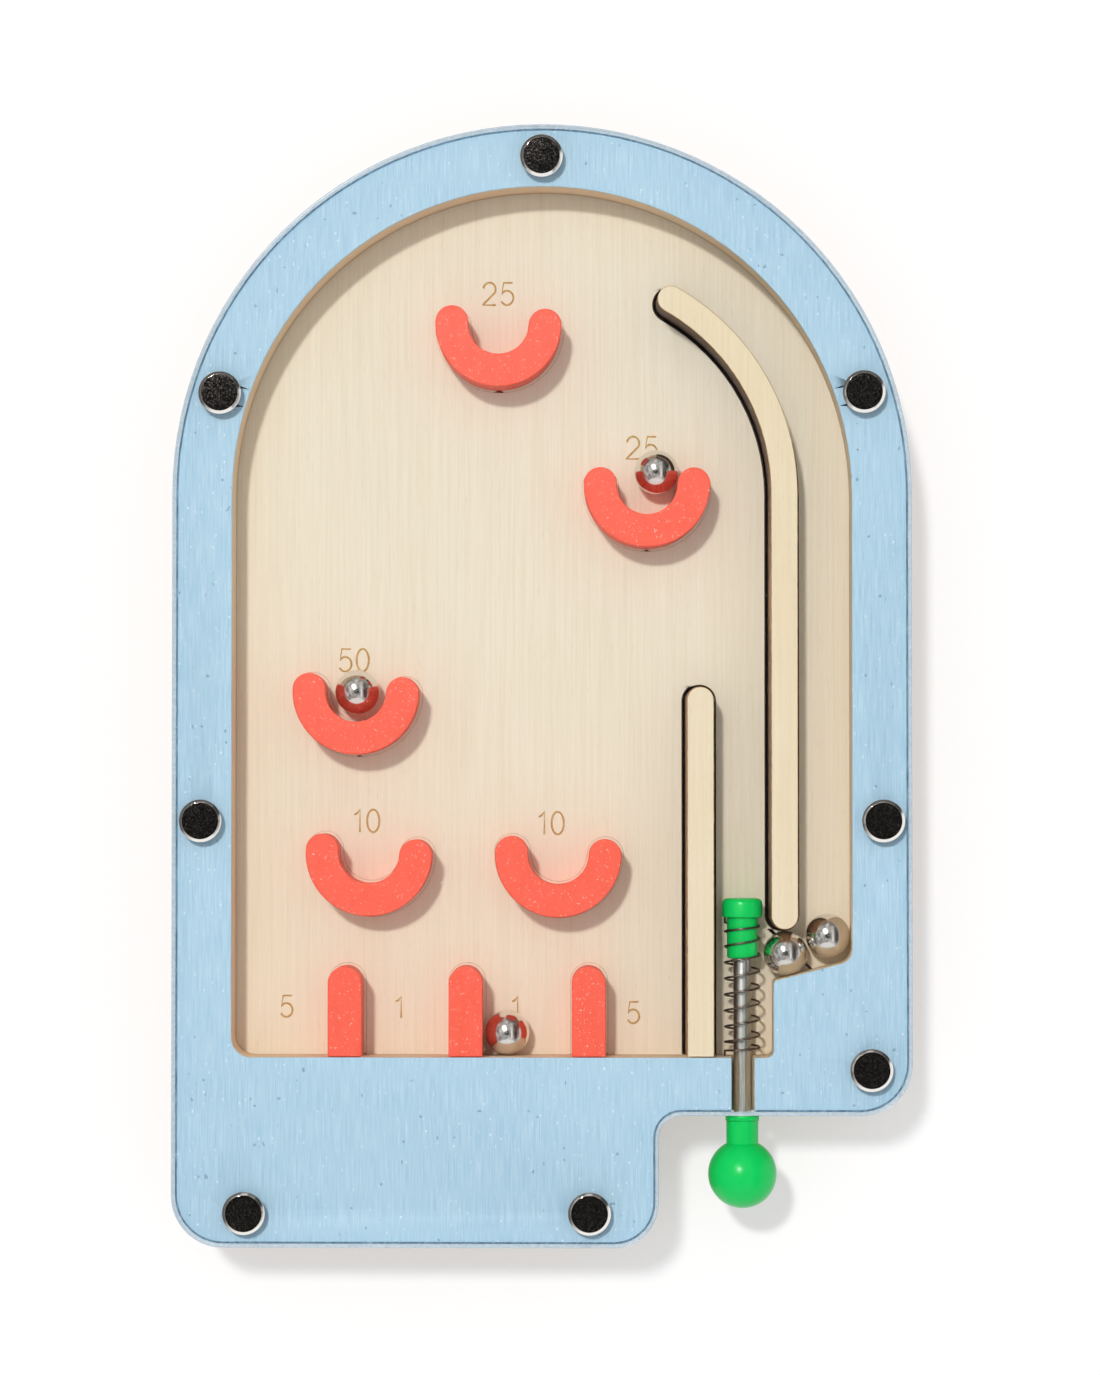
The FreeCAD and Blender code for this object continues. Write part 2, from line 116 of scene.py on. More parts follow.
# Lamps, windows and dark things that the balls and pins mirror: middle and spread on a ball's face seen from
# above with its radius as one, softness of the outline, and level of light
CARDS = (
    ((0.0, -0.43), (0.34, 0.15), 0.12, 1.0),
    ((0.42, 0.3), (0.16, 0.2), 0.3, 0.06),
    ((0.38, -0.03), (0.09, 0.27), 0.12, 0.04),
    ((0.21, -0.05), (0.035, 0.24), 0.2, 1.1),
    ((-0.015, 0.015), (0.12, 0.125), 0.12, 0.03),
    ((-0.14, 0.25), (0.1, 0.09), 0.3, 2.6),
)


def linear(hex_colour):
    """sRGB hex text as the linear colour that shaders take."""
    channels = [int(hex_colour[i:i + 2], 16) / 255 for i in (1, 3, 5)]
    return tuple(c / 12.92 if c <= 0.04045 else ((c + 0.055) / 1.055) ** 2.4 for c in channels) + (1.0,)


# Sizes and colours that a user would change


def length(name, description, millimetres):
    return FloatProperty(name=name, description=description, default=millimetres * MM, subtype="DISTANCE",
                         unit="LENGTH")


def colour(name, description, hex_colour):
    return FloatVectorProperty(name=name, description=description, default=linear(hex_colour), size=4,
                               subtype="COLOR")


class BagatelleSizes(bpy.types.PropertyGroup):
    board_edge: length("Board edge", "Rounding of the wooden boards' edges", 0.2)
    outline_edge: length("Outline edge", "Rounding of the frame's outer edge", 0.5)
    slot_edge: length("Slot edge", "Burnt rounding on the left of the rails' slots", 0.42)
    slot_edge_rest: length("Other slot edges", "Rounding of the playfield's other edges", 0.07)
    slot_film: length("Slot film", "How far the veneer that closes a cup's slot reaches past the cup", 0.3)
    rail_draft: length("Rail draft, left", "How much wider a rail's foot is on its left", 0.45)
    rail_draft_right: length("Rail draft, right", "How much wider a rail's foot is on its right", 0.25)
    cup_draft: length("Cup draft, left", "How much wider a cup's foot is on its left", 0.1)
    cup_draft_right: length("Cup draft, right", "How far a cup's foot stands back on its right", 0.3)
    piece_edge: length("Piece edge", "Rounding of the cups', dividers' and rails' edges", 0.22)
    cover_edge: length("Cover edge", "Rounding of the clear cover's edges", 0.35)
    # Painted reflection: the rim is a pale grey-blue strip for what is seen through the cover's edge
    painted_reflection_rim: length("Cover rim", "Milky rim that the laser leaves on the cover's underside", 0.6)
    veneer: length("Veneer", "Thickness of one veneer of the plywood", 1.3)
    engraving: length("Engraving", "Width of the laser's line in the score numbers", 0.36)
    engraving_height: length("Engraving height", "Height of the band that is drawn for that line", 0.05)
    wire: length("Wire", "Diameter of the spring's wire", 0.4)
    turns: IntProperty(name="Turns", description="Turns of the spring", default=9, min=3)
    pin_turn: FloatProperty(name="Pin turn", description="Most that the grinding marks turn from pin to pin",
                            default=math.radians(40), subtype="ANGLE", unit="ROTATION")
    marks: IntProperty(name="Marks", description="Scratches and dust on the cover", default=300, min=0)
    mark_width: length("Mark width", "Half the width of a scratch or dust grain", 0.06)


class BagatelleColours(bpy.types.PropertyGroup):
    paint: colour("Case paint", "Blue paint on the frame's face", "#A9CDE4")
    pieces: colour("Piece paint", "Coral paint on the cups and dividers", "#F95A40")
    birch: colour("Birch", "Sanded face of the birch plywood", "#F0E8D4")
    warm_birch: colour("Warm birch", "The same veneer where it is pinker", "#F3DFC3")
    rails: colour("Rail birch", "Yellower veneer of the rails", "#EDDDBC")
    plastic: colour("Plunger plastic", "Green plastic of the tip and knob", "#00D060")


# Nodes


def tint(value):
    """Hex text, a grey level or a colour property as a socket's four numbers. A link stays a link."""
    if isinstance(value, str):
        return linear(value)
    if isinstance(value, (int, float)):
        return (value, value, value, 1.0)
    return value if isinstance(value, bpy.types.NodeSocket) else tuple(value)


def add(tree, kind, inputs=None, stops=None, **settings):
    """A node with its settings, its colour stops, and a value or a link for each named or numbered input."""
    node = tree.nodes.new(kind)
    for name, value in settings.items():
        setattr(node, name, value)
    for i, (place, shown) in enumerate(stops or ()):
        elements = node.color_ramp.elements
        element = elements[i] if i < len(elements) else elements.new(place)
        element.position = place
        element.color = tint(shown)
    for key, value in (inputs or {}).items():
        if isinstance(value, bpy.types.NodeSocket):
            tree.links.new(value, node.inputs[key])
        else:
            node.inputs[key].default_value = value
    return node


def made(tree, kind, inputs=None, stops=None, **settings):
    return add(tree, kind, inputs, stops, **settings).outputs[0]


def maths(tree, operation, *values):
    return made(tree, "ShaderNodeMath", dict(enumerate(values)), operation=operation)


def vector(tree, operation, *values, output="Vector"):
    return add(tree, "ShaderNodeVectorMath", dict(enumerate(values)), operation=operation).outputs[output]


def ramp(tree, value, low, high, to_low=0.0, to_high=1.0, kind="LINEAR"):
    """The value moved from one range to another, and held at its ends."""
    inputs = {"Value": value, "From Min": low, "From Max": high, "To Min": to_low, "To Max": to_high}
    return made(tree, "ShaderNodeMapRange", inputs, interpolation_type=kind)


def steps(tree, value, *stops):
    return made(tree, "ShaderNodeValToRGB", {"Fac": value}, stops=stops)


def blend_colours(tree, share, first, second):
    inputs = {0: share, 6: tint(first), 7: tint(second)}
    return add(tree, "ShaderNodeMix", inputs, data_type="RGBA").outputs[2]


def lay(tree, tone, grain, first, last, over):
    """A colour laid over the tone, by the share that two stops give for the grain's value."""
    return blend_colours(tree, steps(tree, grain, first, last), tone, over)


def cells(tree, size_mm, detail=3.0, roughness=0.55, distortion=0.0):
    """Noise whose grain has the given size along X, Y and Z in millimetres."""
    place = add(tree, "ShaderNodeTexCoord").outputs["Object"]
    scale = tuple(1 / (MM * size) for size in size_mm)
    place = made(tree, "ShaderNodeMapping", {"Vector": place, "Scale": scale})
    inputs = {"Vector": place, "Scale": 1.0, "Detail": detail, "Roughness": roughness,
              "Distortion": distortion}
    return made(tree, "ShaderNodeTexNoise", inputs)


def position(tree, axis):
    place = add(tree, "ShaderNodeTexCoord").outputs["Object"]
    return add(tree, "ShaderNodeSeparateXYZ", {0: place}).outputs[axis]


def new_tree(name):
    material = bpy.data.materials.new(name)
    material.use_nodes = True
    material.node_tree.nodes.clear()
    return material, material.node_tree


def shaded(material, tone, roughness, specular=0.5, bump=None, **more):
    """Closes a material with one Principled shader. bump is a height, its depth in mm and its strength."""
    tree = material.node_tree
    inputs = {"Base Color": tint(tone), "Roughness": roughness, "Specular IOR Level": specular}
    inputs.update((name.replace("_", " "), value) for name, value in more.items())
    if bump:
        height, depth_mm, strength = bump
        relief = {"Height": height, "Distance": depth_mm * MM, "Strength": strength}
        inputs["Normal"] = made(tree, "ShaderNodeBump", relief)
    shader = add(tree, "ShaderNodeBsdfPrincipled", inputs)
    add(tree, "ShaderNodeOutputMaterial", {"Surface": shader.outputs[0]})
    return material


def shaded_mix(material, share, first, second):
    """Closes a material with a mix of two shaders."""
    tree = material.node_tree
    mix = add(tree, "ShaderNodeMixShader", {0: share, 1: first.outputs[0], 2: second.outputs[0]})
    add(tree, "ShaderNodeOutputMaterial", {"Surface": mix.outputs[0]})
    return material


def one_grain(name, size_mm, detail, stops, roughness, specular=0.5, bump=None, **more):
    """A material whose colour follows one grain. bump is the depth in millimetres and the strength."""
    material, tree = new_tree(name)
    grain = cells(tree, size_mm, detail)
    return shaded(material, steps(tree, grain, *stops), roughness, specular, bump and (grain, *bump), **more)


# Materials


def birch_ply_sanded(pale, warm):
    """Rotary-cut birch veneer, sanded: a pale, even face with fine grain, short pores and warm patches."""
    material, tree = new_tree("Birch plywood, sanded")
    fine = cells(tree, (0.45, 26, 0.45), 4, 0.62)
    wide = cells(tree, (6, 46, 6), 2, distortion=0.6)
    pores = cells(tree, (0.16, 1.5, 0.16), 1)
    lower = ramp(tree, position(tree, 1), 70 * MM, -70 * MM)
    warmth = maths(tree, "MULTIPLY", lower, maths(tree, "MULTIPLY", wide, 0.9))
    tone = blend_colours(tree, warmth, pale, warm)
    tone = lay(tree, tone, fine, (0.38, 0.0), (0.66, 0.26), "#DCC6A2")
    tone = lay(tree, tone, wide, (0.5, 0.0), (0.75, 0.25), "#F8F0E0")
    tone = lay(tree, tone, pores, (0.66, 0.0), (0.76, 0.25), "#B89A72")
    return shaded(material, tone, 0.62, 0.35, (fine, 0.03, 0.5))


def ply_edge_cut(sizes):
    """Sawn plywood edge: bands of end grain and long grain, a little browned by the cutter."""
    material, tree = new_tree("Birch plywood, cut edge")
    fibre = cells(tree, (2.5, 2.5, 0.12), 3, 0.6)
    turn = maths(tree, "MULTIPLY", position(tree, 2), math.pi / sizes.veneer)
    waver = maths(tree, "ADD", turn, maths(tree, "MULTIPLY", cells(tree, (9, 9, 9), 1), 0.7))
    plies = steps(tree, ramp(tree, maths(tree, "SINE", waver), -1, 1), (0.42, "#D9BF97"), (0.58, "#B48E63"))
    tone = lay(tree, plies, fibre, (0.35, 0.0), (0.7, 0.45), "#94714A")
    return shaded(material, tone, 0.72, 0.3, (fibre, 0.06, 0.6))


def wall_cut():
    """Inside of the frame: bare cut wood, tan, with painted shade darkening its foot at the playfield."""
    material, tree = new_tree("Birch plywood, inner wall")
    fibre = cells(tree, (3, 3, 0.3))
    # Painted shade: the wall's lowest 2.8 mm fade to a darker tan at the crease with the playfield
    foot = ramp(tree, position(tree, 2), 12.7 * MM, 15.5 * MM)
    tone = blend_colours(tree, foot, "#B89A74", "#EBD6B6")
    tone = lay(tree, tone, fibre, (0.35, 0.0), (0.7, 0.45), "#CFB38C")
    return shaded(material, tone, 0.7, 0.3, (fibre, 0.05, 0.5))


def laser_char():
    """Edge cut by a laser: charred nearly black, with a brown sheen where the char is thin."""
    stops = ((0.3, "#1B1410"), (0.55, "#33241A"), (0.75, "#5B4029"))
    return one_grain("Birch plywood, laser char", (0.35, 0.35, 5), 3, stops, 0.55, 0.4, (0.05, 1.0))


def rail_side():
    """Laser-cut side of a rail: charred, brown higher up; char and painted shade black its foot and curve.
    """
    material, tree = new_tree("Birch plywood, scorched side")
    streaks = cells(tree, (1.2, 1.2, 2.5))
    slow = cells(tree, (9, 9, 9), 1)
    # Painted shade, partly char: darker towards the foot and towards the long rail's curve up the game
    lift = ramp(tree, position(tree, 2), 13 * MM, 21 * MM)
    bend = ramp(tree, position(tree, 1), 15 * MM, 45 * MM, 1.0, 0.12)
    tone = blend_colours(tree, maths(tree, "MULTIPLY", lift, bend), "#3A2A22", "#B98F68")
    tone = lay(tree, tone, slow, (0.45, 0.0), (0.65, 0.45), "#5A4030")
    tone = lay(tree, tone, streaks, (0.5, 0.0), (0.7, 0.6), "#2A1D18")
    return shaded(material, tone, 0.6, 0.35, (streaks, 0.05, 1.0))


def laser_singe():
    """Rim of a laser cut: amber where the veneer is only toasted."""
    stops = ((0.35, "#A87B45"), (0.7, "#DDB981"))
    return one_grain("Birch veneer, singed rim", (1.1, 1.1, 1.1), 2, stops, 0.6, 0.3)


def engraving_burn():
    """Laser engraving: a shallow line of toasted wood, uneven in tone along its length."""
    stops = ((0.3, "#BC9150"), (0.7, "#D6B276"))
    return one_grain("Laser engraving in birch", (0.5, 0.5, 0.5), 2, stops, 0.75, 0.2)


def case_paint(colours):
    """Thin matt paint rolled on birch: the grain shows as pale hairs, with dust nibs and a few pits."""
    material, tree = new_tree("Blue paint on birch, rolled")
    hairs = cells(tree, (0.22, 7, 0.22), 3, 0.65)
    slow = cells(tree, (22, 60, 22), 2)
    nibs = cells(tree, (0.5, 0.7, 0.5), 0)
    pits = cells(tree, (0.8, 1.1, 0.8), 0)
    tone = lay(tree, colours.paint, slow, (0.35, 0.0), (0.7, 0.35), "#B4D8EA")
    tone = lay(tree, tone, hairs, (0.45, 0.0), (0.72, 0.75), "#C9E4F2")
    tone = lay(tree, tone, hairs, (0.26, 0.5), (0.44, 0.0), "#93BAD4")
    tone = lay(tree, tone, nibs, (0.77, 0.0), (0.8, 0.75), "#E8F4FA")
    tone = lay(tree, tone, pits, (0.15, 0.6), (0.165, 0.0), "#5F87A3")
    return shaded(material, tone, 0.55, 0.4, (hairs, 0.03, 0.7))


def painted_edge_shade():
    """The same paint on the frame's rounded outer edge, darker and greyer: painted shade along the outline.
    """
    # Painted shade: a thin dark line round the outline, under the cover's edge
    stops = ((0.35, "#57788F"), (0.65, "#85A8BF"), (0.8, "#B5D2E3"))
    return one_grain("Blue paint, run over the edge", (0.5, 3, 0.5), 3, stops, 0.5, 0.35)


def piece_paint(colours):
    """Satin coral paint, dipped: grainy, with painted glints, pale specks where grit would catch the lamp.
    """
    material, tree = new_tree("Coral paint on birch, dipped")
    grit = cells(tree, (0.2, 0.28, 0.2), 2, 0.7)
    slow = cells(tree, (2.2, 7, 2.2), 2)
    painted_glints = cells(tree, (0.26, 0.36, 0.26), 0)
    tone = lay(tree, colours.pieces, slow, (0.35, 0.0), (0.7, 0.4), "#FF6650")
    tone = lay(tree, tone, grit, (0.55, 0.0), (0.75, 0.4), "#FF7E66")
    # Painted glints: pale specks laid into the colour
    tone = lay(tree, tone, painted_glints, (0.74, 0.0), (0.8, 0.6), "#FFC3B4")
    tone = lay(tree, tone, grit, (0.25, 0.4), (0.42, 0.0), "#E24A3A")
    return shaded(material, tone, 0.42, 0.35, (grit, 0.03, 0.8))


def piece_side():
    """The same paint on a charred cut side: thinner and redder."""
    stops = ((0.35, "#DD4836"), (0.65, "#F2624E"))
    return one_grain("Coral paint on char", (0.5, 0.5, 3), 2, stops, 0.5, 0.4)


def plunger_plastic(colours):
    """Moulded polypropylene: soft gloss and a little light let through, so its thin parts glow."""
    material, tree = new_tree("Green polypropylene, moulded")
    slow = cells(tree, (2.5, 2.5, 2.5), 2)
    tone = lay(tree, colours.plastic, slow, (0.4, 0.0), (0.75, 0.5), "#0ADB6C")
    return shaded(material, tone, 0.28, 0.3, (slow, 0.12, 0.5), Subsurface_Weight=0.4,
                  Subsurface_Radius=(0.4, 1.0, 0.5), Subsurface_Scale=1.5 * MM)


def ball_steel():
    """Ground and lapped bearing steel: a mirror with the faintest bloom."""
    material, tree = new_tree("Bearing steel, lapped")
    bloom = cells(tree, (1.2, 1.2, 1.2))
    return shaded(material, "#E6E1DC", maths(tree, "MULTIPLY", bloom, 0.22), Metallic=1.0)


def rod_steel():
    """Drawn steel rod: long fine die lines and a dull grey."""
    stops = ((0.35, "#A9ACAB"), (0.65, "#DCDCD8"))
    return one_grain("Mild steel, drawn", (0.12, 30, 0.12), 3, stops, 0.3, bump=(0.02, 0.5), Metallic=1.0)


def spring_wire():
    """Oil-tempered spring wire: dark bronze-grey with tight highlights."""
    stops = ((0.35, "#5A5048"), (0.7, "#8A7F75"))
    return one_grain("Spring steel, oil tempered", (0.6, 0.6, 0.6), 2, stops, 0.32, Metallic=1.0)


def pin_nickel():
    """Nickel plate on a ground face: dark and mirror-like from above, pitted, with a bright bevel."""
    material, tree = new_tree("Nickel plate on ground steel")
    lines = cells(tree, (0.15, 2.2, 0.15))
    pits = cells(tree, (0.22, 0.3, 0.22), 1)
    tone = steps(tree, pits, (0.3, "#6B6460"), (0.6, "#A8A29D"), (0.8, "#CFC9C4"))
    normal = add(tree, "ShaderNodeNewGeometry").outputs["Normal"]
    upright = add(tree, "ShaderNodeSeparateXYZ", {0: normal}).outputs[2]
    tone = blend_colours(tree, ramp(tree, upright, 0.96, 0.9), tone, "#EFEBE6")
    rough = ramp(tree, pits, 0.35, 0.8, 0.05, 0.16)
    return shaded(material, tone, rough, bump=(lines, 0.008, 0.3), Metallic=1.0)


def acrylic(tree, tone, roughness, clearness):
    inputs = {"Base Color": tone, "Roughness": roughness, "IOR": 1.49, "Transmission Weight": clearness}
    return add(tree, "ShaderNodeBsdfPrincipled", inputs)


def cover_acrylic():
    """Cast acrylic: clear, with lamps and soft light let straight through to the playfield."""
    material, tree = new_tree("Clear acrylic, cast")
    clear = acrylic(tree, linear("#FDFEFE"), 0.0, 1.0)
    path = add(tree, "ShaderNodeLightPath").outputs
    let_through = maths(tree, "MAXIMUM", path["Is Shadow Ray"], path["Is Diffuse Ray"])
    return shaded_mix(material, let_through, clear, add(tree, "ShaderNodeBsdfTransparent"))


def cover_edge_cut():
    """Laser-cut acrylic edge, melted, grey-blue from painted reflection. It bends the lamp's light: a thin
    shadow.
    """
    material, tree = new_tree("Clear acrylic, cut edge")
    # Painted reflection: pale grey-blue for the backdrop and the frame's blue seen in the edge
    tone = steps(tree, cells(tree, (0.5, 0.5, 4), 2), (0.35, "#BFD3E2"), (0.7, "#DCE8EF"))
    edge_painted_reflection = acrylic(tree, tone, 0.22, 0.35)
    path = add(tree, "ShaderNodeLightPath").outputs
    dimmed = add(tree, "ShaderNodeBsdfTransparent", {"Color": linear("#B9C2C8")})
    return shaded_mix(material, path["Is Shadow Ray"], edge_painted_reflection, dimmed)


def scratched_acrylic():
    """Scratches and dust on the cover: broken surface that scatters light, as white hairs and dots."""
    return one_grain("Scratched acrylic", (3, 3, 3), 1, ((0.3, "#DAD6CE"), (0.7, "#FFFFFF")), 0.6)


# Meshes


def link(name, mesh):
    piece = bpy.data.objects.new(name, mesh)
    bpy.context.scene.collection.objects.link(piece)
    return piece


@contextmanager
def shape_of(mesh, source=None):
    """A mesh, or another one as its source, opened for changes that are written to it at the end."""
    shape = bmesh.new()
    shape.from_mesh(source or mesh)
    yield shape
    shape.to_mesh(mesh)
    shape.free()


def plain_mesh(piece, name):
    """The piece with its modifiers applied, as a new object; the old one is removed."""
    bpy.context.view_layer.update()
    graph = bpy.context.evaluated_depsgraph_get()
    mesh = bpy.data.meshes.new_from_object(piece.evaluated_get(graph), preserve_all_data_layers=True,
                                           depsgraph=graph)
    mesh.name = name
    bpy.data.objects.remove(piece)
    return link(name, mesh)


def whole_faces(node):
    """Mesh of a CAD node with its loose triangles joined and each flat made one face."""
    mesh = bpy.data.meshes.new(node)
    with shape_of(mesh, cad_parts[node].data) as shape:
        bmesh.ops.remove_doubles(shape, verts=shape.verts, dist=0.002 * MM)
        bmesh.ops.dissolve_limit(shape, angle_limit=math.radians(0.5), verts=shape.verts, edges=shape.edges)
    return mesh


def weigh_edges(mesh, share, split):
    """Marks each sharp edge with the part of the bevel's width that share gives it."""
    with shape_of(mesh) as shape:
        flats = [face for face in shape.faces if split and len(face.verts) > 4]
        bmesh.ops.triangulate(shape, faces=flats, ngon_method="BEAUTY")
        weight = shape.edges.layers.float.new("bevel_weight_edge")
        for edge in shape.edges:
            if edge.calc_face_angle(0) > math.radians(35):
                out = edge.link_faces[0].normal + edge.link_faces[1].normal
                edge[weight] = share((edge.verts[0].co + edge.verts[1].co) / 2, out)


def way_out(vert, end):
    """The level way out of a prism at a vertex of its foot, but not from the square end at y = end."""
    out = Vector((0, 0, 0))
    for face in vert.link_faces:
        if abs(face.normal.z) < 0.3 and not (face.normal.y < -0.99 and vert.co.y < end + TOUCH):
            out += Vector((face.normal.x, face.normal.y, 0))
    return out.normalized()


def slope_sides(mesh, left, right):
    """Moves a prism's foot outward by left to right, so that its sides slope as a laser cuts them."""
    with shape_of(mesh) as shape:
        foot = min(v.co.z for v in shape.verts)
        end = min(v.co.y for v in shape.verts)
        for vert in shape.verts:
            if vert.co.z <= foot + TOUCH:
                out = way_out(vert, end)
                vert.co += out * (left + (right - left) * (1 + out.x) / 2)


def rounded_piece(node, name, edge, segments=3, share=lambda middle, out: 1.0, draft=(), split=False):
    """A CAD node's shape with rounded edges. split cuts up flats that have holes close to an edge."""
    piece = link(name + "_blank", whole_faces(node))
    if draft:
        slope_sides(piece.data, *draft)
    weigh_edges(piece.data, share, split)
    piece.data.materials.clear()
    piece.data.shade_smooth()
    piece.data.set_sharp_from_angle(angle=math.radians(30))
    bevel = piece.modifiers.new("Edge", "BEVEL")
    bevel.width = edge
    bevel.segments = segments
    bevel.limit_method = "WEIGHT"
    bevel.use_clamp_overlap = False
    bevel.loop_slide = False
    bevel.harden_normals = True
    return plain_mesh(piece, name)


def in_opening(x, y):
    """Whether a place is inside the frame's opening or on its walls."""
    reach = math.hypot(x, max(0, y - ARCH_MIDDLE))
    return abs(x) < OPENING_HALF and OPENING_FOOT < y < OPENING_TOP and reach < ARCH_REACH


def by_rail(x, y):
    """Whether a place is at one of the rails' slots in the playfield."""
    boxes = (left < x / MM < right and foot < y / MM < top for left, right, foot, top in RAIL_SLOTS)
    return in_opening(x, y) and any(boxes)


def dress(piece, materials, choose):
    """Gives each face the material whose number choose returns for it."""
    for material in materials:
        piece.data.materials.append(material)
    for face in piece.data.polygons:
        face.material_index = choose(face)


def settle(piece, slot, body="case"):
    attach(piece, body)


def stand_for(piece, node, slot, body="case"):
    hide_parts(node)
    settle(piece, slot, body)


def lathe(name, profile, centre, sides=72):
    """Solid turned about the plunger's axis from (radius, y) points, foot first, with closed ends."""
    mesh = bpy.data.meshes.new(name)
    with shape_of(mesh) as shape:
        rings = []
        for radius, y in profile:
            ring = []
            for i in range(sides if radius > 0 else 1):
                angle = 2 * math.pi * i / sides
                x = centre[0] + radius * math.cos(angle)
                ring.append(shape.verts.new((x, y, centre[1] + radius * math.sin(angle))))
            rings.append(ring)
        for low, high in zip(rings, rings[1:]):
            for i in range(sides):
                j = (i + 1) % sides
                corners = [low[i % len(low)], low[j % len(low)], high[j % len(high)], high[i % len(high)]]
                shape.faces.new(list(dict.fromkeys(corners)))
        bmesh.ops.recalc_face_normals(shape, faces=shape.faces)
    mesh.shade_smooth()
    mesh.set_sharp_from_angle(angle=math.radians(32))
    return link(name, mesh)


def turned(corners, steps_per_corner=6):
    """Profile points for lathe from (radius, y, rounding) corners."""
    points = []
    for i, (radius, y, rounding) in enumerate(corners):
        corner = Vector((radius, y))
        if rounding <= 0 or i in (0, len(corners) - 1):
            points.append(corner)
            continue
        before = (Vector(corners[i - 1][:2]) - corner).normalized()
        after = (Vector(corners[i + 1][:2]) - corner).normalized()
        half = before.angle(after) / 2
        reach = rounding / math.tan(half)
        middle = corner + (before + after).normalized() * (rounding / math.sin(half))
        start = (corner + before * reach - middle).normalized()
        end = (corner + after * reach - middle).normalized()
        for k in range(steps_per_corner + 1):
            points.append(middle + start.slerp(end, k / steps_per_corner) * rounding)
    return [tuple(p) for p in points]


def figure_points(stroke):
    """Points of a stroke, with its arcs cut into short lines."""
    points = []
    for part in stroke:
        if isinstance(part[0], tuple):
            (cx, cy), (rx, ry), first, last = part
            for k in range(FIGURE_STEPS + 1):
                angle = math.radians(first + (last - first) * k / FIGURE_STEPS)
                points.append((cx + rx * math.cos(angle), cy + ry * math.sin(angle)))
        else:
            points.append(part)
    return points


def figure_strokes(text, middle, height):
    """Lines of points, in metres, for a number centred on a place of the playfield."""
    left = -(sum(FIGURES[c][0] for c in text) + FIGURE_GAP * (len(text) - 1)) / 2
    lines = []
    for c in text:
        width, strokes = FIGURES[c]
        for points in map(figure_points, strokes):
            lines.append([(middle[0] + (left + x) * height, middle[1] + (y - 0.5) * height)
                          for x, y in points])
        left += width + FIGURE_GAP
    return lines


def curve_of(name, lines, kind):
    """A curve object with one spline for each line of points."""
    curve = bpy.data.curves.new(name, "CURVE")
    curve.dimensions = "3D"
    for points in lines:
        spline = curve.splines.new(kind)
        spline.points.add(len(points) - 1)
        for point, place in zip(spline.points, points):
            point.co = (*place, 1)
    return link(name, curve)


def grow(tree_name, piece, material, build, values):
    """Runs a Geometry Nodes tree on a piece and makes it a plain mesh. values are the tree's named sizes."""
    tree = bpy.data.node_groups.new(tree_name, "GeometryNodeTree")
    sockets = {}
    tree.interface.new_socket("Geometry", in_out="INPUT", socket_type="NodeSocketGeometry")
    for label, value in values.items():
        kind = SOCKETS[type(value)]
        sockets[label] = tree.interface.new_socket(label, in_out="INPUT", socket_type=kind).identifier
    tree.interface.new_socket("Geometry", in_out="OUTPUT", socket_type="NodeSocketGeometry")
    shape = build(tree, add(tree, "NodeGroupInput").outputs)
    shape = made(tree, "GeometryNodeSetMaterial", {0: shape, "Material": material})
    add(tree, "NodeGroupOutput", {0: made(tree, "GeometryNodeRealizeInstances", {0: shape})})
    modifier = piece.modifiers.new(tree_name, "NODES")
    modifier.node_group = tree
    for label, value in values.items():
        modifier[sockets[label]] = value
    name = piece.name
    piece.name = name + "_path"
    return plain_mesh(piece, name)


def sweep(tree, path, profile):
    inputs = {"Curve": path, "Profile Curve": profile, "Fill Caps": True}
    return made(tree, "GeometryNodeCurveToMesh", inputs)


def chance(tree, seed, most=1.0):
    return add(tree, "FunctionNodeRandomValue", {"Max": most, "Seed": seed}, data_type="FLOAT").outputs[1]


def copies(tree, points, instance, turn, **more):
    """The instance on each point, turned about Z."""
    way = made(tree, "ShaderNodeCombineXYZ", {2: turn})
    inputs = {"Points": points, "Instance": instance, "Rotation": way, **more}
    return made(tree, "GeometryNodeInstanceOnPoints", inputs)


# Stage


def make_floor():
    """Matt white sweep. A share of its white is seen but lights nothing, so the shadow stays pale."""
    material, tree = new_tree("White paper sweep")
    paper = add(tree, "ShaderNodeBsdfDiffuse", {"Color": (0.62, 0.62, 0.63, 1)})
    path = add(tree, "ShaderNodeLightPath").outputs
    seen = maths(tree, "MAXIMUM", path["Is Camera Ray"], path["Is Glossy Ray"])
    seen = maths(tree, "MAXIMUM", seen, path["Is Transmission Ray"])
    strength = maths(tree, "MULTIPLY", seen, 0.39)
    glow = add(tree, "ShaderNodeEmission", {"Color": (1, 1, 1, 1), "Strength": strength})
    both = add(tree, "ShaderNodeAddShader", {0: paper.outputs[0], 1: glow.outputs[0]})
    under = add(tree, "ShaderNodeNewGeometry").outputs["Backfacing"]
    shaded_mix(material, under, both, add(tree, "ShaderNodeBsdfTransparent"))
    size = 3.0
    z = -0.05 * MM
    mesh = bpy.data.meshes.new("floor")
    corners = [(-size, -size, z), (size, -size, z), (size, size, z), (-size, size, z)]
    mesh.from_pydata(corners, [], [(0, 1, 2, 3)])
    mesh.materials.append(material)
    link("floor", mesh)


